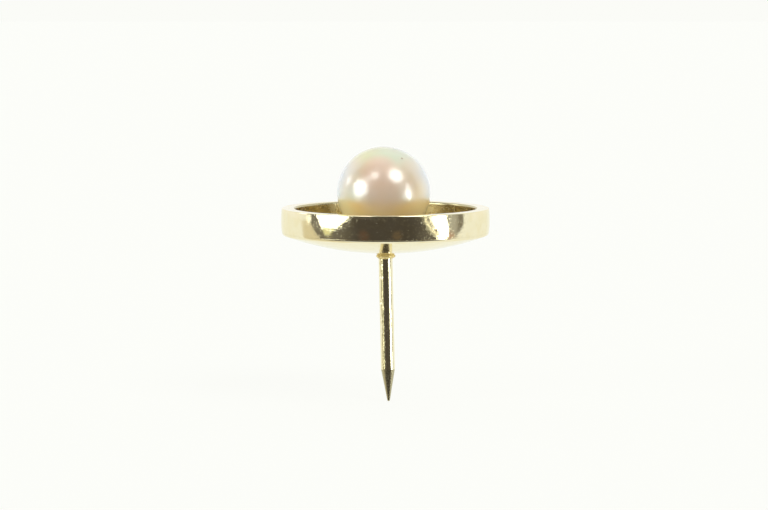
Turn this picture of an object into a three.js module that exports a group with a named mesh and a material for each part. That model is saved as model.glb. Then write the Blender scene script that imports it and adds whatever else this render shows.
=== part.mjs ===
// A tie tack: a pearl on a cup and peg inside a shallow gold dish, with a pointed post under the dish.
//
// Millimetres, +Z up. The origin is the lowest point of the domed back, where the post is soldered on.
// The pearl is above it and the post hangs below it. Every piece is turned about an upright axis.

import * as THREE from 'three';

// ---------------------------------------------------------------- driving dimensions

// Metal pieces that are soldered or cemented together keep this much room for the joint.
const jointGap = 0.02;

// The band is the upright wall of the dish.
const bandRadius = 7.25;
const bandWall = 0.97;
const bandTop = 3.13;
const bandBulge = 0.05;
const bandOuterEdge = 0.08;
const bandInnerEdge = 0.3;

// The back is a dished disc as wide as the band, which stands on its flat seat. Its underside is part of
// a sphere, and a round edge joins that to its side.
const domeRadius = 20.6;
const backThickness = 0.45;
const backEdgeRound = 0.2;

// The pearl stands a little off the middle of the dish.
const pearlRadius = 3.25;
const pearlCentreHeight = 4.13;
const pearlOffset = -0.12;

// The half-drilled hole, and the peg that goes up it.
const boreRadius = 0.5;
const boreTop = 4.08;
const pegRadius = 0.4;
const pegTop = 3.93;
const pegGrooves = 5;
const pegGrooveDepth = 0.05;
const pegGrooveWidth = 0.15;
const pegGroovePitch = 0.5;
const pegChamfer = 0.1;

// The cup follows the pearl from below, with cement between them. The lip's slant and the cement's
// distance from the lip are angles seen from the pearl's centre.
const cementFilm = 0.11;
const cementSleeveTop = 3.83;
const cementBelowLip = THREE.MathUtils.degToRad(2);
const cupWall = 0.24;
const cupHalfAngle = THREE.MathUtils.degToRad(36);
const cupLipSlant = THREE.MathUtils.degToRad(1);
const cupFootRadius = 1.0;

// The post is a plain wire that leans a little, with a cone that ends in a small round point.
const postRadius = 0.49;
const postLean = THREE.MathUtils.degToRad(1.25);
const coneTop = -8.17;
const pointHeight = -10.44;
const pointRadius = 0.11;

// The rim and cup fillets are as wide on one piece as they are tall on the other. Each one's hollow face
// goes through a point that is given as parts of its width and height.
const rimFilletSize = 0.22;
const rimHollow = { across: 0.35, up: 0.22 };
const cupFilletSize = 0.2;
const cupHollow = { across: 0.35, up: 0.35 };

// The solder round the post's root is a bead: it swells to its widest a little below the dome, and then
// runs out hollow on to the wire.
const postBeadRoot = 0.64;
const postBeadWidest = { radius: 0.71, height: -0.14 };
const postBeadHollow = { radius: 0.58, height: -0.27 };
const postBeadBottom = -0.42;

// Sides round the axis: more on the wide pieces, all a multiple of four.
const wideSides = 72;
const pearlSides = 52;
const cupSides = 40;
const thinSides = 20;

// ---------------------------------------------------------------- derived dimensions

const bandInnerRadius = bandRadius - bandWall;

// The band's wall bulges, so its two ends, and the back's edge, are a little narrower than its middle.
const endRadius = bandRadius - bandBulge;
const floorRadius = domeRadius - backThickness;

// The disc's round edge touches both the dome and the disc's side.
const edgeCentreRadius = endRadius - backEdgeRound;
const edgeCentreHeight = domeRadius - Math.sqrt((domeRadius - backEdgeRound) ** 2 - edgeCentreRadius ** 2);
const edgeSlope = Math.asin(edgeCentreRadius / (domeRadius - backEdgeRound));
const edgeStart = domeRadius * Math.sin(edgeSlope);

const floorHeight = (radius) => domeRadius - Math.sqrt(floorRadius ** 2 - radius ** 2);
const domeHeight = (radius) => domeRadius - Math.sqrt(domeRadius ** 2 - radius ** 2);
const seatHeight = floorHeight(bandInnerRadius);

const cupInnerRadius = pearlRadius + cementFilm;
const cupOuterRadius = cupInnerRadius + cupWall;
const footBottom = floorHeight(cupFootRadius + Math.abs(pearlOffset)) + jointGap;

// ---------------------------------------------------------------- profile helpers

const at = (radius, height) => new THREE.Vector2(radius, height);

// Points along a circular arc in the profile plane. Angles are in degrees, with 0 pointing outwards.
function arc(centreRadius, centreHeight, size, from, to, steps) {
  const points = [];
  for (let i = 0; i <= steps; i += 1) {
    const angle = THREE.MathUtils.degToRad(THREE.MathUtils.lerp(from, to, i / steps));
    points.push(at(centreRadius + size * Math.cos(angle), centreHeight + size * Math.sin(angle)));
  }
  return points;
}

// Points of a height formula between two radii, both ends included.
function along(height, from, to, steps) {
  const points = [];
  for (let i = 0; i <= steps; i += 1) {
    const radius = THREE.MathUtils.lerp(from, to, i / steps);
    points.push(at(radius, height(radius)));
  }
  return points;
}

// A solid of revolution about +Z. The profile runs with the metal on its left.
function turned(profile, sides) {
  const geometry = new THREE.LatheGeometry(profile, sides);
  geometry.rotateX(Math.PI / 2);
  return geometry;
}

// A ring profile is closed by repeating its first point.
const closed = (profile) => [...profile, profile[0].clone()];

// ---------------------------------------------------------------- pieces

function rimBand() {
  const bottom = seatHeight + jointGap;
  const middle = (bottom + bandTop) / 2;
  const halfHeight = (bandTop - bottom) / 2;
  const outerRadius = (height) => bandRadius - bandBulge * ((height - middle) / halfHeight) ** 2;
  const wallSteps = 4;
  const wallTop = bandTop - bandOuterEdge;

  const outside = [];
  for (let i = 0; i <= wallSteps; i += 1) {
    const height = THREE.MathUtils.lerp(bottom, wallTop, i / wallSteps);
    outside.push(at(outerRadius(height), height));
  }
  const outerEdge = arc(outerRadius(wallTop) - bandOuterEdge, wallTop, bandOuterEdge, 30, 90, 2);
  const innerEdgeCentre = bandTop - bandInnerEdge;
  const innerEdge = arc(bandInnerRadius + bandInnerEdge, innerEdgeCentre, bandInnerEdge, 90, 180, 4);
  return turned(closed([...outside, ...outerEdge, ...innerEdge, at(bandInnerRadius, bottom)]), wideSides);
}

function domedBack() {
  const underside = along(domeHeight, 0, edgeStart, 6);
  const edgeFrom = THREE.MathUtils.radToDeg(edgeSlope) - 90;
  const edge = arc(edgeCentreRadius, edgeCentreHeight, backEdgeRound, edgeFrom, 0, 4).slice(1);
  const seatEdge = at(endRadius, seatHeight);
  const floor = along(floorHeight, bandInnerRadius, 0, 6);
  return turned([...underside, ...edge, seatEdge, ...floor], wideSides);
}

function pearl() {
  const boreMouthAngle = THREE.MathUtils.radToDeg(-Math.acos(boreRadius / pearlRadius));
  const skin = arc(0, pearlCentreHeight, pearlRadius, boreMouthAngle, 90, 20);
  skin[skin.length - 1].x = 0;
  return turned([at(0, boreTop), at(boreRadius, boreTop), ...skin], pearlSides);
}

function pearlCup() {
  const holeRadius = pegRadius + jointGap;
  const lipAngle = THREE.MathUtils.radToDeg(cupHalfAngle) - 90;
  const innerLipAngle = lipAngle + THREE.MathUtils.radToDeg(cupLipSlant);
  const footAngle = -THREE.MathUtils.radToDeg(Math.acos(cupFootRadius / cupOuterRadius));
  const holeAngle = -THREE.MathUtils.radToDeg(Math.acos(holeRadius / cupInnerRadius));
  const outside = arc(0, pearlCentreHeight, cupOuterRadius, footAngle, lipAngle, 4);
  const inside = arc(0, pearlCentreHeight, cupInnerRadius, innerLipAngle, holeAngle, 7);
  const foot = [at(holeRadius, footBottom), at(cupFootRadius, footBottom)];
  return turned(closed([...foot, ...outside, ...inside]), cupSides);
}

// The peg has grooves that key it into the cement.
function pearlPeg() {
  const bottom = floorHeight(pegRadius + Math.abs(pearlOffset)) + jointGap;
  const halfGroove = pegGrooveWidth / 2;
  const side = [at(pegRadius, bottom)];
  for (let i = pegGrooves - 1; i >= 0; i -= 1) {
    const middle = pegTop - (i + 1) * pegGroovePitch;
    side.push(at(pegRadius, middle - halfGroove));
    side.push(at(pegRadius - pegGrooveDepth, middle));
    side.push(at(pegRadius, middle + halfGroove));
  }
  const chamfer = [at(pegRadius, pegTop - pegChamfer), at(pegRadius - pegChamfer, pegTop)];
  return turned([at(0, bottom), ...side, ...chamfer, at(0, pegTop)], thinSides);
}

// The cement is a film that lines the cup, and a sleeve round the peg inside the pearl's hole.
function pearlCement() {
  const filmAngle = THREE.MathUtils.radToDeg(cupHalfAngle - cementBelowLip) - 90;
  const sleeveInner = pegRadius + jointGap;
  const sleeveOuter = boreRadius - jointGap;
  const lower = cupInnerRadius - jointGap;
  const upper = pearlRadius + jointGap;
  const lowerStart = -THREE.MathUtils.radToDeg(Math.acos(sleeveInner / lower));
  const upperEnd = -THREE.MathUtils.radToDeg(Math.acos(sleeveOuter / upper));
  const filmUnder = arc(0, pearlCentreHeight, lower, lowerStart, filmAngle, 6);
  const filmOver = arc(0, pearlCentreHeight, upper, filmAngle, upperEnd, 6);
  const sleeve = [at(sleeveOuter, cementSleeveTop), at(sleeveInner, cementSleeveTop)];
  return turned(closed([...filmUnder, ...filmOver, ...sleeve]), thinSides);
}

function post() {
  const point = arc(0, pointHeight + pointRadius, pointRadius, -90, -10, 3);
  point[0].x = 0;
  const shank = [at(postRadius, coneTop), at(postRadius, -jointGap)];
  return turned([...point, ...shank, at(0, -jointGap)], thinSides);
}

// Fills the corner between the band's inner wall and the dish floor.
function rimSolder() {
  const wallRadius = bandInnerRadius - jointGap;
  const footRadius = wallRadius - rimFilletSize;
  const corner = at(wallRadius, floorHeight(wallRadius) + jointGap);
  const wallEnd = at(wallRadius, corner.y + rimFilletSize);
  const hollow = at(wallRadius - rimFilletSize * rimHollow.across, corner.y + rimFilletSize * rimHollow.up);
  const footEnd = at(footRadius, floorHeight(footRadius) + jointGap);
  return turned(closed([footEnd, corner, wallEnd, hollow]), wideSides);
}

// Fills the corner between the cup's foot and the dish floor.
function cupSolder() {
  const footRadius = cupFootRadius + jointGap;
  const outerRadius = footRadius + cupFilletSize;
  const base = floorHeight(outerRadius + Math.abs(pearlOffset)) + jointGap;
  const corner = at(footRadius, base);
  const hollow = at(footRadius + cupFilletSize * cupHollow.across, base + cupFilletSize * cupHollow.up);
  const footEnd = at(footRadius, base + cupFilletSize);
  return turned(closed([corner, at(outerRadius, base), hollow, footEnd]), cupSides);
}

// The bead's hole clears the leaning wire.
function postSolder() {
  const holeRadius = postRadius + jointGap;
  const top = -jointGap / 2;
  const end = [at(holeRadius, postBeadBottom), at(holeRadius + jointGap, postBeadBottom)];
  const hollow = at(postBeadHollow.radius, postBeadHollow.height);
  const widest = at(postBeadWidest.radius, postBeadWidest.height);
  const root = [at(postBeadRoot, top), at(holeRadius, top)];
  return turned(closed([...end, hollow, widest, ...root]), thinSides);
}

// ---------------------------------------------------------------- materials

const metal = (color, roughness) => new THREE.MeshStandardMaterial({ color, roughness, metalness: 1 });

const polishedGold = metal(0xe3bd72, 0.12);
const wireGold = metal(0xdcb266, 0.22);
const solderGold = metal(0xd9b06a, 0.3);
const nacre = new THREE.MeshStandardMaterial({ color: 0xe6dccb, roughness: 0.18, metalness: 0 });
const clearCement = new THREE.MeshStandardMaterial({ color: 0xe8e2cc, roughness: 0.25, metalness: 0 });

// ---------------------------------------------------------------- assembly

function piece(name, geometry, material) {
  const mesh = new THREE.Mesh(geometry, material);
  mesh.name = name;
  return mesh;
}

const dish = new THREE.Group();
dish.add(piece('domed_back', domedBack(), polishedGold));
dish.add(piece('rim_band', rimBand(), polishedGold));
dish.add(piece('rim_solder', rimSolder(), solderGold));

const setting = new THREE.Group();
setting.position.x = pearlOffset;
setting.add(piece('pearl_cup', pearlCup(), wireGold));
setting.add(piece('cup_solder', cupSolder(), solderGold));
setting.add(piece('pearl_peg', pearlPeg(), wireGold));
setting.add(piece('pearl_cement', pearlCement(), clearCement));
setting.add(piece('pearl', pearl(), nacre));

// The wire leans towards +X on its way down; the bead round its root stays upright.
const leaningWire = new THREE.Group();
leaningWire.rotation.y = -postLean;
leaningWire.add(piece('post', post(), wireGold));

const fastening = new THREE.Group();
fastening.add(leaningWire);
fastening.add(piece('post_solder', postSolder(), solderGold));

const tieTack = new THREE.Group();
tieTack.add(dish, setting, fastening);

export default tieTack;
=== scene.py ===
"""Looks of the tie tack: finely turned gold, a nacre pearl and a plain white studio round the parts.

Every visible piece is a fine mesh that replaces the CAD solid that it is named after. Profiles are in
millimetres, as (radius, height) pairs that run with the metal on their left. Meshes are in metres.
"""

import math

import bpy
from mathutils import Matrix, Vector, noise


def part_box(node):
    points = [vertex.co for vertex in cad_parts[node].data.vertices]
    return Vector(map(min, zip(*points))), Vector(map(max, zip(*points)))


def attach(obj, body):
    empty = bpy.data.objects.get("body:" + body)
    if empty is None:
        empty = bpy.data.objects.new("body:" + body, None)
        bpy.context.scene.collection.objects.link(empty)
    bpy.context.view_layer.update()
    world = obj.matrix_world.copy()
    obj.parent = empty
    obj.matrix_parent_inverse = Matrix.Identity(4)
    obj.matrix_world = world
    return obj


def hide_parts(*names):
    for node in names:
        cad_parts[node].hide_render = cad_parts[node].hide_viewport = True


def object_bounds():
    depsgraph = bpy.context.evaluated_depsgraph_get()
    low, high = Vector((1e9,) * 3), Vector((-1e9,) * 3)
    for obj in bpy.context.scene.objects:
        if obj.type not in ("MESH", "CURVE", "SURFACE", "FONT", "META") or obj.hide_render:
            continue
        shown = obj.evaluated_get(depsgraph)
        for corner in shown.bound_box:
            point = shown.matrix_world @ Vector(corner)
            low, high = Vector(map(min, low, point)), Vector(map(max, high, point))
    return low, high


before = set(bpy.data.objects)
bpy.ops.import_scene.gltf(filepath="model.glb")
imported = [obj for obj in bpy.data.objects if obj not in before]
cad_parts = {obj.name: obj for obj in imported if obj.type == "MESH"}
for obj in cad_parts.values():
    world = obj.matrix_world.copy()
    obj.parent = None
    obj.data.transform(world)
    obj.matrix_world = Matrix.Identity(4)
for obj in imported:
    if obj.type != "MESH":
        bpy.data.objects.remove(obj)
cad_low, cad_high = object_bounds()

# ------------------------------------------------------------------ sizes, in millimetres

MM = 0.001


def span(node):
    """A CAD node's lowest and highest corners, in millimetres."""
    low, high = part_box(node)
    return low / MM, high / MM


band_low, band_high = span("rim_band")
back_high = span("domed_back")[1]
pearl_low, pearl_high = span("pearl")
cup_low = span("pearl_cup")[0]
peg_low, peg_high = span("pearl_peg")
cement_high = span("pearl_cement")[1]
rim_solder_high = span("rim_solder")[1]
cup_solder_low, cup_solder_high = span("cup_solder")
post_solder_low, post_solder_high = span("post_solder")
post_low = span("post")[0]

JOINT_GAP = 0.02
HAIRLINE = 0.002

# The dish: the band, and the domed back with its rounded edge.
BAND_RADIUS = band_high.x
END_RADIUS = back_high.x
BAND_TOP = band_high.z
BAND_INNER = rim_solder_high.x + JOINT_GAP
SEAM = (back_high.z + band_low.z) / 2
DOME_RADIUS = 20.6
BACK_THICKNESS = 0.45
FLOOR_RADIUS = DOME_RADIUS - BACK_THICKNESS
EDGE_ROUND = 0.2
EDGE_MIDDLE = END_RADIUS - EDGE_ROUND
EDGE_SLOPE = math.asin(EDGE_MIDDLE / (DOME_RADIUS - EDGE_ROUND))
EDGE_HEIGHT = DOME_RADIUS - (DOME_RADIUS - EDGE_ROUND) * math.cos(EDGE_SLOPE)
BAND_OUTER_EDGE = 0.075
BAND_INNER_EDGE = 0.15

# The pearl, and the peg and cup that carry it. The pit is given as a direction from its middle.
PEARL_X = (pearl_low.x + pearl_high.x) / 2
PEARL_RADIUS = (pearl_high.x - pearl_low.x) / 2
PEARL_Z = pearl_high.z - PEARL_RADIUS
PIT = (1.27, -1.60, 2.53)
PIT_DEPTH = 0.05
PIT_REACH = 0.08
PEG_RADIUS = (peg_high.x - peg_low.x) / 2
PEG_GROOVES = 5
PEG_GROOVE_PITCH = 0.5
PEG_CHAMFER = 0.1
BORE_RADIUS = 0.5
BORE_TOP = 4.08
CEMENT_FILM = 0.11
CUP_WALL = 0.24
CUP_INNER = PEARL_RADIUS + CEMENT_FILM
CUP_OUTER = CUP_INNER + CUP_WALL
CUP_FOOT = 1.0
CUP_HALF_ANGLE = 36.0
CUP_LIP_ROUND = 0.05

# The post leans as its CAD solid does, and ends in a cone with a small round point.
POST_RADIUS = -post_low.x
POST_TIP = min((v.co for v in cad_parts["post"].data.vertices), key=lambda co: co.z) / MM
POST_LEAN = math.atan2(POST_TIP.x, -POST_TIP.z)
POST_LENGTH = math.hypot(POST_TIP.x, POST_TIP.z)
CONE_TOP = -8.17
CONE_TOP_ROUND = 0.25
POINT_RADIUS = 0.1
ROOT_TOP = 0.02

# ------------------------------------------------------------------ profiles


def dome_height(radius):
    """The height of the back's underside at a distance from its axis."""
    return DOME_RADIUS - math.sqrt(DOME_RADIUS**2 - radius**2)


def floor_height(radius):
    """The height of the dish's floor at a distance from its axis."""
    return DOME_RADIUS - math.sqrt(FLOOR_RADIUS**2 - radius**2)


def arc(centre, size, start, end, steps):
    """Points along a circular arc. Angles are in degrees, with 0 pointing outwards."""
    points = []
    for i in range(steps + 1):
        angle = math.radians(start + (end - start) * i / steps)
        points.append((centre[0] + size * math.cos(angle), centre[1] + size * math.sin(angle)))
    return points


def along(height, start, end, steps):
    """Points of a height formula between two radii."""
    radii = [start + (end - start) * i / steps for i in range(steps + 1)]
    return [(radius, height(radius)) for radius in radii]


def rounded(before, corner, after, size, steps=7):
    """The corner between three points, cut off by an arc of the given size."""
    apex, a, b = Vector(corner), Vector(before), Vector(after)
    to_a = (a - apex).normalized()
    to_b = (b - apex).normalized()
    half = to_a.angle(to_b) / 2
    reach = size / math.tan(half)
    middle = apex + (to_a + to_b).normalized() * (size / math.sin(half))
    first = apex + to_a * reach - middle
    last = apex + to_b * reach - middle
    turn = first.angle_signed(last)
    points = []
    for i in range(steps + 1):
        step = first.copy()
        step.rotate(Matrix.Rotation(-turn * i / steps, 2))
        points.append(tuple(middle + step))
    return points


def refined(points, closed, longest=0.16, guard=0.006):
    """The same outline with extra points, close to each bend and evenly along each straight."""
    result = []
    pairs = list(zip(points, points[1:]))
    if closed:
        pairs.append((points[-1], points[0]))
    for a, b in pairs:
        a, b = Vector(a), Vector(b)
        length = (b - a).length
        stops = [0.0]
        if length > 4 * guard:
            steps = max(1, math.ceil((length - 2 * guard) / longest))
            stops += [guard + (length - 2 * guard) * i / steps for i in range(steps + 1)]
        for stop in stops:
            result.append(tuple(a.lerp(b, stop / length)))
    if not closed:
        result.append(tuple(points[-1]))
    return result


def smooth_outline(points, steps):
    """A smooth curve through the given points, with some steps between each two."""
    ends = [points[0], *points, points[-1]]
    result = []
    for a, b, c, d in zip(ends, ends[1:], ends[2:], ends[3:]):
        for i in range(steps):
            t = i / steps
            weights = (
                (-t + 2 * t**2 - t**3) / 2,
                (2 - 5 * t**2 + 3 * t**3) / 2,
                (t + 4 * t**2 - 3 * t**3) / 2,
                (t**3 - t**2) / 2,
            )
            mixed = [sum(w * p[k] for w, p in zip(weights, (a, b, c, d))) for k in (0, 1)]
            result.append(tuple(mixed))
    return [*result, points[-1]]


# ------------------------------------------------------------------ meshes


def turned(name, profile, sides, closed=False, axis_x=0.0):
    """A smooth solid of revolution about an upright axis. An open profile starts and ends on it."""
    vertices, rows = [], []
    for radius, height in profile:
        if radius < 1e-6:
            rows.append([len(vertices)] * sides)
            vertices.append((axis_x * MM, 0.0, height * MM))
            continue
        rows.append(list(range(len(vertices), len(vertices) + sides)))
        for i in range(sides):
            angle = math.tau * i / sides
            x = axis_x + radius * math.cos(angle)
            y = radius * math.sin(angle)
            vertices.append((x * MM, y * MM, height * MM))
    if closed:
        rows.append(rows[0])
    faces = []
    for low, high in zip(rows, rows[1:]):
        for i in range(sides):
            j = (i + 1) % sides
            face = dict.fromkeys((low[i], low[j], high[j], high[i]))
            faces.append(tuple(face))
    mesh = bpy.data.meshes.new(name)
    mesh.from_pydata(vertices, [], faces)
    mesh.update()
    mesh.shade_smooth()
    piece = bpy.data.objects.new(name, mesh)
    bpy.context.scene.collection.objects.link(piece)
    return piece


def push(piece, amount):
    """Moves each vertex along its normal by amount(point), both in millimetres."""
    mesh = piece.data
    moves = [v.normal * (amount(v.co / MM) * MM) for v in mesh.vertices]
    for vertex, move in zip(mesh.vertices, moves):
        vertex.co += move
    mesh.update()


def ripple(point, size, height):
    """Gentle unevenness of a given size, in millimetres."""
    return height * noise.noise(point / size)


def bump(point, centre, reach):
    """1 at a place on the surface, falling smoothly to 0 around it."""
    return math.exp(-((point - Vector(centre)).length / reach) ** 2)


# ------------------------------------------------------------------ shader helpers


class Graph:
    """Adds nodes to a tree: each call makes one node and returns its first output."""

    def __init__(self, tree):
        self.tree = tree
        tree.nodes.clear()

    def put(self, socket, value):
        if isinstance(value, bpy.types.NodeSocket):
            self.tree.links.new(value, socket)
        else:
            socket.default_value = value

    def node(self, kind, inputs=None, **settings):
        made = self.tree.nodes.new(kind)
        for key, value in settings.items():
            setattr(made, key, value)
        for key, value in (inputs or {}).items():
            self.put(made.inputs[key], value)
        return made

    def math(self, operation, *values):
        inputs = dict(enumerate(values))
        return self.node("ShaderNodeMath", inputs, operation=operation).outputs[0]

    def vector(self, operation, *values):
        inputs = dict(enumerate(values))
        return self.node("ShaderNodeVectorMath", inputs, operation=operation).outputs[0]

    def ramp(self, value, start, end, low=0.0, high=1.0):
        """Goes smoothly from low to high as value goes from start to end."""
        inputs = {"Value": value, "From Min": start, "From Max": end, "To Min": low, "To Max": high}
        made = self.node("ShaderNodeMapRange", inputs, interpolation_type="SMOOTHSTEP", clamp=True)
        return made.outputs[0]

    def mix(self, factor, first, second):
        """Goes from the first colour to the second as factor goes from 0 to 1."""
        made = self.node("ShaderNodeMix", data_type="RGBA")
        self.put(made.inputs["Factor"], factor)
        self.put(made.inputs[6], first)
        self.put(made.inputs[7], second)
        return made.outputs[2]

    def noise(self, vector, scale, detail=2.0, roughness=0.5):
        inputs = {"Vector": vector, "Scale": scale, "Detail": detail, "Roughness": roughness}
        return self.node("ShaderNodeTexNoise", inputs).outputs[0]

    def stretched(self, point, x, y, z):
        """The same point with its axes scaled, which draws a noise out along the small ones."""
        return self.node("ShaderNodeMapping", {"Vector": point, "Scale": (x, y, z)}).outputs[0]

    def bump(self, height, depth, normal=None):
        """A surface that is raised by the height, which is a factor from 0 to 1, times the depth."""
        inputs = {"Height": height, "Distance": depth * MM, "Strength": 1.0}
        if normal is not None:
            inputs["Normal"] = normal
        return self.node("ShaderNodeBump", inputs).outputs[0]


def material(name):
    """An empty material, its graph, its shader, and the object's own coordinates in millimetres."""
    made = bpy.data.materials.new(name)
    made.use_nodes = True
    graph = Graph(made.node_tree)
    shader = graph.node("ShaderNodeBsdfPrincipled")
    output = graph.node("ShaderNodeOutputMaterial")
    graph.put(output.inputs["Surface"], shader.outputs[0])
    place = graph.node("ShaderNodeTexCoord").outputs["Object"]
    point = graph.vector("MULTIPLY", place, (1 / MM, 1 / MM, 1 / MM))
    return made, graph, shader, point


def depth_inside(graph, across, up, corners):
    """How far a direction is inside a convex outline in the sky, in degrees.

    Its corners are (azimuth, elevation) pairs and run anticlockwise.
    """
    depth = None
    for (x0, y0), (x1, y1) in zip(corners, corners[1:] + corners[:1]):
        length = math.hypot(x1 - x0, y1 - y0)
        along_x, along_y = (x1 - x0) / length, (y1 - y0) / length
        level = graph.math("MULTIPLY_ADD", up, along_x, along_y * x0 - along_x * y0)
        distance = graph.math("MULTIPLY_ADD", across, -along_y, level)
        depth = distance if depth is None else graph.math("MINIMUM", depth, distance)
    return depth


def toward(graph, direction, centre, width, softness):
    """1 inside a round patch of directions, 0 outside it. The angles are in degrees."""
    pair = {0: direction, 1: Vector(centre).normalized()}
    facing = graph.node("ShaderNodeVectorMath", pair, operation="DOT_PRODUCT").outputs[1]
    near = math.cos(math.radians(max(width - softness, 0)))
    far = math.cos(math.radians(width + softness))
    return graph.ramp(facing, far, near)


def heading(azimuth, elevation):
    """The unit vector of a direction in the sky. Azimuth 0 is the front, and it grows to the right."""
    a, e = math.radians(azimuth), math.radians(elevation)
    return Vector((math.sin(a) * math.cos(e), -math.cos(a) * math.cos(e), math.sin(e)))


# ------------------------------------------------------------------ materials


def gold(name, colour, grain, scratch_depth, roughness, speckle=0.0017, dulling=0.2):
    """Yellow gold with wiping marks and small dull specks.

    The grain is how often the marks repeat per millimetre along x, y and z, and scratch_depth is their
    depth. The specks have the depth speckle, and dulling is how much rougher they are than the rest.
    """
    made, graph, shader, point = material(name)
    streaks = graph.noise(graph.stretched(point, *grain), 1.0, 3.0, 0.6)
    scratches = graph.ramp(streaks, 0.56, 0.66)
    haze = graph.noise(point, 1.1, 3.0, 0.55)
    specks = graph.noise(point, 6.2, 3.0, 0.7)
    deeper = [part * share for part, share in zip(colour, (0.98, 0.96, 0.9))]
    shade = graph.mix(graph.ramp(haze, 0.35, 0.7), (*colour, 1), (*deeper, 1))
    graph.put(shader.inputs["Base Color"], shade)
    worn = graph.ramp(haze, 0.4, 0.75, roughness, roughness * 1.8)
    dulled = graph.math("MULTIPLY_ADD", graph.ramp(specks, 0.47, 0.68), dulling, worn)
    graph.put(shader.inputs["Roughness"], graph.math("MULTIPLY_ADD", scratches, 0.05, dulled))
    rough = graph.bump(specks, speckle)
    graph.put(shader.inputs["Normal"], graph.bump(scratches, scratch_depth, rough))
    shader.inputs["Metallic"].default_value = 1.0
    shader.inputs["Specular Tint"].default_value = (1.0, 0.98, 0.9, 1)
    return made


# The pearl's orient: soft coloured places on its skin. The last two rows are painted reflection
# of the gold dish's wall, low on the pearl's sides. Each has a direction from the pearl's
# middle, a half-width in degrees and a colour.
ORIENT_AND_DISH_REFLECTION = [
    ((-0.34, -0.50, 0.80), 24, (0.60, 0.55, 0.25)),
    ((0.24, -0.62, 0.75), 20, (0.57, 0.60, 0.43)),
    ((-0.14, -0.84, 0.52), 16, (0.74, 0.46, 0.33)),
    ((-0.74, -0.48, 0.47), 15, (0.66, 0.51, 0.38)),
    ((0.68, -0.62, 0.38), 18, (0.70, 0.52, 0.34)),
    ((-0.02, -0.97, 0.20), 22, (0.65, 0.47, 0.36)),
    # Painted reflection: the gold wall, mirrored low on the pearl's left and right sides.
    ((-0.95, -0.25, -0.25), 20, (0.84, 0.70, 0.36)),
    ((0.93, -0.35, -0.28), 22, (0.98, 0.74, 0.38)),
]


def nacre():
    """Cream nacre: a soft translucent body under a glossy skin.

    It has rosy and greenish places and one brown pit. A painted reflection of the gold dish
    warms its lower half, and a painted sheen makes its left and right sides paler and greyer.
    """
    made, graph, shader, point = material("nacre")
    middle = (-PEARL_X, 0.0, -PEARL_Z)
    outward = graph.vector("NORMALIZE", graph.vector("ADD", point, middle))
    clouds = graph.noise(point, 0.5, 3.0, 0.5)
    greenish, rosy = (0.64, 0.61, 0.48, 1), (0.67, 0.58, 0.47, 1)
    body = graph.mix(graph.ramp(clouds, 0.35, 0.65), greenish, rosy)
    axes = graph.node("ShaderNodeSeparateXYZ", {"Vector": outward}).outputs
    depth, height = axes[1], axes[2]

    # Painted reflection: the lower half is tinted a warm gold, as the gold dish below would mirror
    # onto it.
    painted_dish_reflection = graph.ramp(height, 0.0, -0.22)
    body = graph.mix(painted_dish_reflection, body, (0.87, 0.62, 0.26, 1))
    for direction, width, colour in ORIENT_AND_DISH_REFLECTION:
        place = toward(graph, outward, direction, width, width)
        body = graph.mix(graph.math("MULTIPLY", place, 0.85), body, (*colour, 1))

    # Painted sheen: the left and right sides are paler and greyer, as the white surround would gleam
    # on them.
    painted_flank_sheen = graph.ramp(graph.math("ABSOLUTE", depth), 0.8, 0.2)
    painted_flank_sheen = graph.math("MULTIPLY", painted_flank_sheen, graph.ramp(height, -0.2, 0.0))
    painted_flank_sheen = graph.math("MULTIPLY", painted_flank_sheen, graph.ramp(height, 0.8, 0.4))
    body = graph.mix(graph.math("MULTIPLY", painted_flank_sheen, 0.8), body, (0.56, 0.60, 0.63, 1))

    pit = toward(graph, outward, PIT, 1.3, 0.7)
    graph.put(shader.inputs["Base Color"], graph.mix(pit, body, (0.40, 0.29, 0.17, 1)))

    rings = graph.noise(graph.stretched(point, 0.6, 0.6, 6.0), 1.0, 2.0, 0.5)
    pits = graph.noise(point, 9.0, 2.0, 0.6)
    ringed = graph.bump(rings, 0.0015)
    graph.put(shader.inputs["Normal"], graph.bump(pits, 0.0008, ringed))
    graph.put(shader.inputs["Roughness"], graph.ramp(clouds, 0.3, 0.7, 0.28, 0.34))
    shader.inputs["Subsurface Weight"].default_value = 0.3
    shader.inputs["Subsurface Radius"].default_value = (1.0, 0.8, 0.6)
    shader.inputs["Subsurface Scale"].default_value = 0.5 * MM
    shader.inputs["IOR"].default_value = 1.66
    shader.inputs["Specular IOR Level"].default_value = 1.0
    shader.inputs["Coat Weight"].default_value = 1.0
    shader.inputs["Coat Roughness"].default_value = 0.2
    shader.inputs["Coat IOR"].default_value = 1.65
    return made


def cement():
    """Clear two-part cement, faintly yellow, with tiny bubbles."""
    made, graph, shader, point = material("cement")
    bubbles = graph.noise(point, 12.0, 1.0, 0.5)
    clear, cloudy = (0.86, 0.82, 0.66, 1), (0.93, 0.91, 0.82, 1)
    shade = graph.mix(graph.ramp(bubbles, 0.55, 0.7), clear, cloudy)
    graph.put(shader.inputs["Base Color"], shade)
    graph.put(shader.inputs["Normal"], graph.bump(bubbles, 0.003))
    shader.inputs["Roughness"].default_value = 0.12
    shader.inputs["IOR"].default_value = 1.55
    shader.inputs["Subsurface Weight"].default_value = 0.5
    shader.inputs["Subsurface Radius"].default_value = (1.0, 0.9, 0.6)
    shader.inputs["Subsurface Scale"].default_value = 0.1 * MM
    return made


# ------------------------------------------------------------------ pieces


def satin_and_painted_shade_inside(piece):
    """Gives the inside of the dish the piece's second material: a rougher gold, darkened as painted
    shade.
    """
    painted_shade_reach = BAND_INNER + 0.1
    for face in piece.data.polygons:
        radius = math.hypot(face.center.x, face.center.y) / MM
        inside_the_disc = dome_height(min(radius, END_RADIUS)) + BACK_THICKNESS / 2
        if radius < painted_shade_reach and face.center.z / MM > inside_the_disc:
            face.material_index = 1


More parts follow.
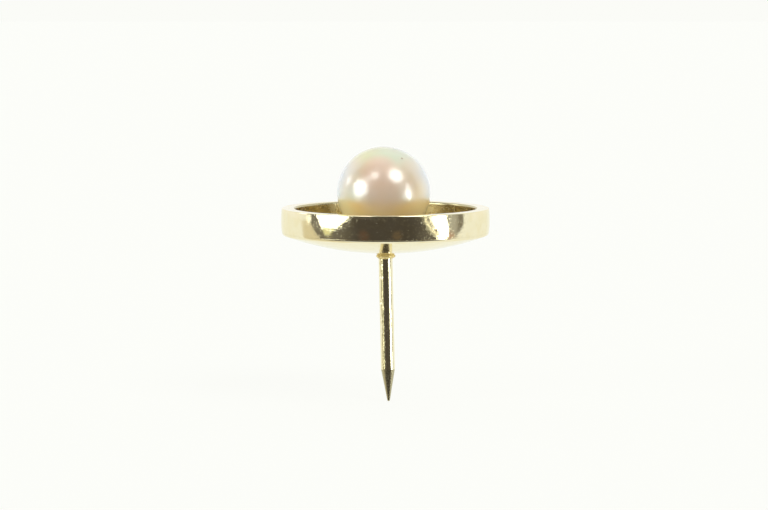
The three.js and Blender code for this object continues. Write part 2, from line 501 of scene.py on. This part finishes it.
def rim_band():
    """The upright wall of the dish, a little barrel-shaped."""
    middle = (EDGE_HEIGHT + BAND_TOP) / 2
    half = (BAND_TOP - EDGE_HEIGHT) / 2
    bulge = BAND_RADIUS - END_RADIUS

    def wall(height):
        return BAND_RADIUS - bulge * ((height - middle) / half) ** 2

    wall_top = BAND_TOP - 0.09
    wall_foot = SEAM + HAIRLINE
    steps = 14
    heights = [wall_foot + (wall_top - wall_foot) * i / steps for i in range(steps + 1)]
    outside = [(wall(z), z) for z in heights]
    top_corner = (wall(BAND_TOP), BAND_TOP)
    inner_corner = (BAND_INNER, BAND_TOP)
    outer_edge = rounded(outside[-1], top_corner, inner_corner, BAND_OUTER_EDGE)
    inner_edge = rounded(
        (BAND_RADIUS, BAND_TOP), inner_corner, (BAND_INNER, SEAM), BAND_INNER_EDGE, 12
    )
    foot = [(BAND_INNER, SEAM), (wall(SEAM) - HAIRLINE, SEAM)]
    profile = refined([*outside, *outer_edge, *inner_edge, *foot], True)
    piece = turned("rim_band_gold", profile, 360, True)

    def wear(point):
        """The polish left the wall a little uneven, and the inner edge is knocked in two places."""
        knocks = 0.03 * bump(point, (5.1, 4.55, BAND_TOP), 0.25)
        knocks += 0.02 * bump(point, (-3.0, 6.0, BAND_TOP), 0.3)
        return ripple(point, 2.3, 0.0018) + ripple(point, 0.8, 0.0004) - 0.002 - knocks

    push(piece, wear)
    satin_and_painted_shade_inside(piece)
    return piece


def domed_back():
    """The dished disc under the band. Its edge stands back a hair from the band's wall."""
    underside = along(dome_height, 0, DOME_RADIUS * math.sin(EDGE_SLOPE), 70)
    edge_middle = (EDGE_MIDDLE - 0.005, EDGE_HEIGHT)
    edge = arc(edge_middle, EDGE_ROUND, math.degrees(EDGE_SLOPE) - 88, -8, 14)
    seat = [(END_RADIUS, SEAM - HAIRLINE), (END_RADIUS - HAIRLINE, SEAM)]
    upper_side = along(floor_height, BAND_INNER - 0.02, 0, 60)
    profile = refined([*underside, *edge, *seat, *upper_side], False)
    piece = turned("domed_back_gold", profile, 300)

    def polish(point):
        return ripple(point, 2.6, 0.0025) + ripple(point, 0.9, 0.0005) - 0.002

    push(piece, polish)
    satin_and_painted_shade_inside(piece)
    return piece


def pearl():
    """The pearl, with its half-drilled hole open below."""
    mouth = math.degrees(-math.acos(BORE_RADIUS / PEARL_RADIUS))
    skin = arc((0, PEARL_Z), PEARL_RADIUS, mouth, 90, 150)
    skin[-1] = (0, PEARL_Z + PEARL_RADIUS)
    profile = refined([(0, BORE_TOP), (BORE_RADIUS, BORE_TOP), *skin], False)
    piece = turned("pearl_nacre", profile, 224, axis_x=PEARL_X)
    pit = Vector((PEARL_X, 0, PEARL_Z)) + Vector(PIT).normalized() * PEARL_RADIUS

    def growth(point):
        """A pearl is never quite round, and this one has one tiny pit."""
        unevenness = ripple(point, 3.1, 0.008) + ripple(point, 0.7, 0.0006) - 0.008
        return unevenness - PIT_DEPTH * bump(point, pit, PIT_REACH)

    push(piece, growth)
    return piece


def pearl_cup():
    """The cup that follows the pearl's underside, on a flat foot with a hole for the peg."""
    centre = (0, PEARL_Z)
    hole = PEG_RADIUS + 0.005
    foot_height = cup_low.z - 0.01
    foot_angle = -math.degrees(math.acos(CUP_FOOT / CUP_OUTER))
    hole_angle = -math.degrees(math.acos(hole / CUP_INNER))
    lip_angle = CUP_HALF_ANGLE - 90
    outside = arc(centre, CUP_OUTER, foot_angle, lip_angle - 0.6, 20)
    inside = arc(centre, CUP_INNER, lip_angle - 0.2, hole_angle, 30)
    lip = arc(centre, (CUP_INNER + CUP_OUTER) / 2, lip_angle + 1, lip_angle + 1, 1)[0]
    crown = rounded(outside[-1], lip, inside[0], CUP_LIP_ROUND)
    foot = [(hole, foot_height), (CUP_FOOT, foot_height)]
    profile = refined([*foot, *outside, *crown, *inside], True)
    piece = turned("pearl_cup_gold", profile, 160, True, PEARL_X)
    push(piece, lambda point: ripple(point, 0.8, 0.003))
    return piece


def pearl_peg():
    """The peg up the pearl's hole, with round glue grooves."""
    top, bottom = peg_high.z, peg_low.z - 0.02
    groove_size = 0.08
    grooves = []
    for i in range(PEG_GROOVES):
        middle = top - (PEG_GROOVES - i) * PEG_GROOVE_PITCH
        grooves += arc((PEG_RADIUS + 0.03, middle), groove_size, 200, 160, 6)
    chamfer = rounded((PEG_RADIUS, bottom), (PEG_RADIUS, top), (0, top), PEG_CHAMFER)
    profile = refined([(0, bottom), (PEG_RADIUS, bottom), *grooves, *chamfer, (0, top)], False)
    return turned("pearl_peg_gold", profile, 64, axis_x=PEARL_X)


def pearl_cement():
    """The cement: a film under the pearl, and a sleeve between the peg and the hole."""
    centre = (0, PEARL_Z)
    inner, outer = PEG_RADIUS + HAIRLINE, BORE_RADIUS - HAIRLINE
    lower, upper = CUP_INNER - 2 * HAIRLINE, PEARL_RADIUS + HAIRLINE
    edge_angle = CUP_HALF_ANGLE - 91.5
    under = arc(centre, lower, -math.degrees(math.acos(inner / lower)), edge_angle, 24)
    over = arc(centre, upper, edge_angle + 1.0, -math.degrees(math.acos(outer / upper)), 24)
    sleeve = [(outer, cement_high.z), (inner, cement_high.z)]
    profile = refined([*under, *over, *sleeve], True)
    return turned("pearl_cement_film", profile, 120, True, PEARL_X)


def solder_ring(name, corner, first, second, sides, axis_x=0.0):
    """A fillet with a hollow face from first to second, and its back hidden in the corner."""
    hollow = 0.275
    shake = 0.006
    steps = 12
    corner, first, second = Vector(corner), Vector(first), Vector(second)
    face = []
    for i in range(steps + 1):
        t = i / steps
        chord = first.lerp(second, t)
        face.append(tuple(chord.lerp(corner, hollow * 4 * t * (1 - t))))
    piece = turned(name, [*face, tuple(corner)], sides, True, axis_x)
    push(piece, lambda point: ripple(point, 0.5, shake) - shake / 2)
    return piece


def rim_solder():
    """The fillet inside the dish, where the band stands on the disc."""
    wall = rim_solder_high.x + 0.03
    reach = rim_solder_high.x - 0.22
    corner = (wall, floor_height(wall) - 0.03)
    upper, lower = (wall, rim_solder_high.z), (reach, floor_height(reach))
    return solder_ring("rim_solder_fillet", corner, upper, lower, 300)


def cup_solder():
    """The fillet round the cup's foot."""
    foot = CUP_FOOT - 0.02
    reach = (cup_solder_high.x - cup_solder_low.x) / 2
    corner = (foot, cup_solder_low.z - 0.05)
    outer = (reach, floor_height(reach) + HAIRLINE)
    upper = (foot, cup_solder_high.z)
    return solder_ring("cup_solder_fillet", corner, outer, upper, 160, PEARL_X)


def post_solder():
    """A knobby bead round the post's root, widest a little below the dome."""
    inside = POST_RADIUS - 0.06
    widest = post_solder_high.x - 0.04
    low = post_solder_low.z
    off_centre = 0.03
    outline = [
        (inside, low),
        (POST_RADIUS + 0.02, low + 0.01),
        (widest - 0.07, low + 0.08),
        (widest, -0.27),
        (widest - 0.02, -0.20),
        (widest - 0.08, -0.10),
        (widest - 0.14, ROOT_TOP),
    ]
    profile = smooth_outline(outline, 4) + [(inside, ROOT_TOP)]
    piece = turned("post_solder_bead", profile, 120, True, off_centre)
    push(piece, lambda point: ripple(point, 0.33, 0.04) + ripple(point, 0.16, 0.02) - 0.01)
    return piece


def post():
    """The post, made upright and then leaned. Its nicks are given as a place, a reach and a depth."""
    tip = -POST_LENGTH
    cone_rise = CONE_TOP - tip - POINT_RADIUS
    flank = math.degrees(math.atan2(POST_RADIUS - POINT_RADIUS, cone_rise))
    point = arc((0, tip + POINT_RADIUS), POINT_RADIUS, -90, -flank, 10)
    point[0] = (0, tip)
    neck = rounded(point[-1], (POST_RADIUS, CONE_TOP), (POST_RADIUS, 0), CONE_TOP_ROUND)
    root = [(POST_RADIUS, ROOT_TOP), (0, ROOT_TOP)]
    profile = refined([*point, *neck, *root], False, 0.06)
    piece = turned("post_gold", profile, 96)
    nicks = [
        ((-0.42, -0.26, -1.62), 0.12, 0.07),
        ((-0.47, -0.10, -1.15), 0.09, 0.05),
        ((-0.36, -0.33, -0.75), 0.10, 0.04),
        ((-0.40, -0.28, -3.41), 0.12, 0.08),
        ((-0.46, -0.16, -4.15), 0.1, 0.05),
        ((-0.42, -0.25, -4.6), 0.10, 0.05),
        ((-0.44, -0.2, -5.1), 0.14, 0.05),
        ((-0.42, -0.25, -5.5), 0.10, 0.045),
        ((0.42, -0.25, -3.75), 0.09, 0.03),
        ((0.44, -0.2, -4.25), 0.09, 0.03),
    ]

    def wear(at):
        """The wire is a little uneven all over, and deeper at its nicks."""
        dents = sum(depth * bump(at, spot, reach) for spot, reach, depth in nicks)
        return ripple(at, 0.9, 0.006) + ripple(at, 0.3, 0.003) - 0.006 - dents

    push(piece, wear)
    # The cone takes the second material: a rougher gold whose darker colour is painted shade.
    for face in piece.data.polygons:
        if face.center.z / MM < CONE_TOP:
            face.material_index = 1
    piece.data.transform(Matrix.Rotation(-POST_LEAN, 4, "Y"))
    return piece


# ------------------------------------------------------------------ studio

SIGHT_PITCH = math.radians(5.4)
SIGHT_DISTANCE = 200.0
SIGHT_TARGET = Vector((-0.097, 0.0, -0.176))
PAPER = (0.965, 0.97, 0.93)


def camera():
    """A long lens in front of the tack, looking slightly down on it."""
    data = bpy.data.cameras.new("camera")
    data.sensor_width = 36.0
    data.lens = 134.8
    data.clip_start = 0.01
    data.clip_end = 10.0
    made = bpy.data.objects.new("camera", data)
    bpy.context.scene.collection.objects.link(made)
    away = Vector((0, -math.cos(SIGHT_PITCH), math.sin(SIGHT_PITCH)))
    made.location = (SIGHT_TARGET + away * SIGHT_DISTANCE) * MM
    made.rotation_euler = (math.radians(90) - SIGHT_PITCH, 0, 0)
    bpy.context.scene.camera = made


def floor():
    """A pale floor at the post's point, in metres.

    Most of its light is its own, so that shadows on it stay faint. It is clear from below.
    """
    reach = 2.0
    height = cad_low.z
    matte_share = 0.06
    mesh = bpy.data.meshes.new("floor")
    sides = [(-reach, -reach), (reach, -reach), (reach, reach), (-reach, reach)]
    mesh.from_pydata([(x, y, height) for x, y in sides], [], [(0, 1, 2, 3)])
    made = bpy.data.objects.new("floor", mesh)
    bpy.context.scene.collection.objects.link(made)
    paper = bpy.data.materials.new("floor")
    paper.use_nodes = True
    graph = Graph(paper.node_tree)
    own_light = {"Color": (*PAPER, 1), "Strength": 1 - matte_share}
    glow = graph.node("ShaderNodeEmission", own_light).outputs[0]
    grey = (matte_share, matte_share, matte_share, 1)
    matte = graph.node("ShaderNodeBsdfDiffuse", {"Color": grey}).outputs[0]
    both = graph.node("ShaderNodeAddShader", {0: glow, 1: matte}).outputs[0]
    see_through = graph.node("ShaderNodeBsdfTransparent").outputs[0]
    behind = graph.node("ShaderNodeNewGeometry").outputs["Backfacing"]
    seen = graph.node("ShaderNodeMixShader", {0: behind, 1: both, 2: see_through}).outputs[0]
    output = graph.node("ShaderNodeOutputMaterial")
    graph.put(output.inputs["Surface"], seen)
    mesh.materials.append(paper)
    made.visible_diffuse = False
    made.visible_glossy = False
    made.visible_transmission = False
    made.visible_shadow = False


def surround_colour(graph, across, up):
    """White paper all round: a little brighter behind the tack, and darker low down on the left."""
    aside = graph.math("ABSOLUTE", across)
    horizon = graph.math("MULTIPLY", graph.ramp(up, -3, 1), graph.ramp(up, 20, 12))
    horizon = graph.math("MULTIPLY", horizon, graph.ramp(aside, 104, 114))
    colour = graph.mix(horizon, (0.945, 0.99, 1.0, 1), (0.99, 1.02, 1.07, 1))
    left_side = graph.math("MULTIPLY", graph.ramp(across, -107, -101), graph.ramp(across, -60, -70))
    left_side = graph.math("MULTIPLY", left_side, graph.ramp(up, 1, -3))
    return graph.mix(left_side, colour, (0.74, 0.70, 0.56, 1))


def hall_colour(graph, direction, across, up):
    """The dark room in front of the tack: a paler strip on the right, and three warm things."""
    aside = graph.math("ABSOLUTE", across)
    middle, beside = (0.070, 0.063, 0.058, 1), (0.19, 0.18, 0.165, 1)
    colour = graph.mix(graph.ramp(aside, 25, 70), middle, beside)
    colour = graph.mix(graph.ramp(across, 70, 74), colour, (0.44, 0.44, 0.42, 1))
    colour = graph.mix(graph.ramp(across, 82, 90), colour, (0.22, 0.21, 0.19, 1))
    for azimuth, elevation, size, warm in (
        (-24, -13, 4, (0.11, 0.075, 0.06, 1)),
        (13, -13, 3, (0.13, 0.10, 0.07, 1)),
        (77, -15, 4, (0.52, 0.37, 0.30, 1)),
    ):
        patch = toward(graph, direction, heading(azimuth, elevation), size, 4)
        colour = graph.mix(patch, colour, warm)
    return graph.mix(graph.ramp(up, 42, 72), colour, (0.66, 0.66, 0.62, 1))


def with_left_window(graph, across, up, colour):
    """Adds the left window: brightest high up and inside, and dim and yellowish along its sill."""
    outline = [(-70.5, -12.5), (-64, -12), (-59, -8), (-45, 3), (-39, 8), (-44, 20)]
    outline += [(-55, 29), (-72, 29), (-84, 18), (-80, 5)]
    depth = depth_inside(graph, across, up, outline)
    edge, full = (1.7, 1.8, 1.75, 1), (8.8, 9.4, 9.1, 1)
    light = graph.mix(graph.ramp(depth, 0, 5), edge, full)
    light = graph.mix(graph.ramp(up, 5, 10), (6.0, 6.4, 6.2, 1), light)
    light = graph.mix(graph.ramp(up, -6, -2), (0.80, 0.80, 0.50, 1), light)
    return graph.mix(graph.ramp(depth, -1.2, 1.5), colour, light)


def with_right_window(graph, across, up, colour):
    """Adds the right window: brightest on its right, with a thin frame line beside its left edge."""
    outline = [(62, -15.7), (70.5, -15.7), (73, -9), (66, 20), (46, 20), (42.5, 8), (44, 0), (50, -8)]
    depth = depth_inside(graph, across, up, outline)
    left_of_pane = graph.ramp(across, 64, 61)
    strip = graph.math("MULTIPLY", left_of_pane, graph.ramp(depth, 6.6, 5.8))
    frame_line = graph.math("MULTIPLY", strip, graph.ramp(depth, 2.6, 3.2))
    edge, full = (1.7, 1.8, 1.75, 1), (9.5, 10.1, 9.8, 1)
    light = graph.mix(graph.ramp(across, 54, 61), edge, full)
    light = graph.mix(strip, light, (1.2, 1.2, 1.0, 1))
    light = graph.mix(frame_line, light, (0.33, 0.30, 0.24, 1))
    return graph.mix(graph.ramp(depth, -1.0, 1.0), colour, light)


def studio():
    """What the gold and the pearl mirror: white paper, a dark room, two windows, a blind and lamps.

    Directions are azimuth and elevation in degrees, with azimuth 0 at the front. The camera sees only
    plain paper behind the tack.
    """
    world = bpy.data.worlds.new("studio")
    world.use_nodes = True
    bpy.context.scene.world = world
    graph = Graph(world.node_tree)
    direction = graph.node("ShaderNodeTexCoord").outputs["Generated"]
    axes = graph.node("ShaderNodeSeparateXYZ", {"Vector": direction}).outputs
    turn = graph.math("ARCTAN2", axes[0], graph.math("MULTIPLY", axes[1], -1.0))
    across = graph.math("MULTIPLY", turn, math.degrees(1))
    aside = graph.math("ABSOLUTE", across)
    up = graph.math("MULTIPLY", graph.math("ARCSINE", axes[2]), math.degrees(1))

    opening = [(-56, -38), (56, -38), (80, -17.5), (91, -10.5), (94.5, -5), (96, 5), (96, 75)]
    opening += [(-112, 75), (-95, 4), (-87, -6), (-80, -13.5)]
    opened = graph.ramp(depth_inside(graph, across, up, opening), -1.0, 1.0)
    surround = surround_colour(graph, across, up)
    colour = graph.mix(opened, surround, hall_colour(graph, direction, across, up))
    colour = with_left_window(graph, across, up, colour)
    colour = with_right_window(graph, across, up, colour)

    blind = graph.math("MULTIPLY", graph.ramp(up, 7.2, 8.0), graph.ramp(up, 12.0, 11.0))
    blind = graph.math("MULTIPLY", blind, graph.ramp(aside, 90, 86))
    colour = graph.mix(graph.math("MULTIPLY", blind, 0.8), colour, (0.25, 0.24, 0.21, 1))

    for azimuth, elevation, size, power in (
        (41, 45, 15, 6.5),
        (-29, 47, 8, 4.5),
        (-46, 36, 8, 2.0),
        (-107, 18, 5, 5.0),
        (-93, 1, 2, 1.5),
    ):
        patch = toward(graph, direction, heading(azimuth, elevation), size, 3.0)
        colour = graph.mix(patch, colour, (power, power * 1.04, power, 1))

    mirrored = graph.node("ShaderNodeBackground", {"Color": colour, "Strength": 1.0}).outputs[0]
    plain = graph.node("ShaderNodeBackground", {"Color": (*PAPER, 1), "Strength": 1.0}).outputs[0]
    by_camera = graph.node("ShaderNodeLightPath").outputs["Is Camera Ray"]
    both = graph.node("ShaderNodeMixShader", {0: by_camera, 1: mirrored, 2: plain}).outputs[0]
    output = graph.node("ShaderNodeOutputWorld")
    graph.put(output.inputs["Surface"], both)


# ------------------------------------------------------------------ assembly

polished = gold("polished_gold", (0.93, 0.83, 0.56), (0.5, 0.5, 9.0), 0.0006, 0.035)
# The inside of the dish: rougher than the polished gold, and its darker colour is painted shade.
satin_painted_shade = gold("satin_gold_painted_shade", (0.59, 0.51, 0.31), (5.0, 5.0, 14.0), 0.0006, 0.2, 0.0006, 0.0)
wire = gold("wire_gold", (0.94, 0.85, 0.58), (9.0, 9.0, 0.6), 0.0012, 0.1, 0.0008, 0.1)
# The point's cone: rougher than the wire, and its darker colour is painted shade.
painted_shade_point = gold("ground_point_painted_shade", (0.50, 0.44, 0.27), (9.0, 9.0, 0.6), 0.0012, 0.2, 0.001, 0.05)
# The solder: rougher, and its darker colour is painted shade where the fillets sit in corners and
# under the dome.
solder = gold("gold_solder", (0.80, 0.66, 0.33), (3.0, 3.0, 3.0), 0.003, 0.38, 0.0018, 0.15)
pearl_skin = nacre()
clear_cement = cement()

# Each piece's function, the CAD node it replaces, its material slot and its material.
PIECES = [
    (domed_back, "domed_back", "polished_gold", polished),
    (rim_band, "rim_band", "polished_gold", polished),
    (rim_solder, "rim_solder", "gold_solder", solder),
    (pearl_cup, "pearl_cup", "wire_gold", wire),
    (cup_solder, "cup_solder", "gold_solder", solder),
    (pearl_peg, "pearl_peg", "wire_gold", wire),
    (pearl_cement, "pearl_cement", "cement", clear_cement),
    (pearl, "pearl", "nacre", pearl_skin),
    (post, "post", "wire_gold", wire),
    (post_solder, "post_solder", "gold_solder", solder),
]

for make, node, slot, look in PIECES:
    piece = make()
    piece.data.materials.append(look)
    if node in ("rim_band", "domed_back"):
        piece.data.materials.append(satin_painted_shade)
    if node == "post":
        piece.data.materials.append(painted_shade_point)
    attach(piece, "root")
    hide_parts(node)

camera()
floor()
studio()

view = bpy.context.scene.view_settings
view.view_transform = "Standard"
view.look = "None"
bpy.context.scene.cycles.max_bounces = 16
bpy.context.scene.cycles.glossy_bounces = 12
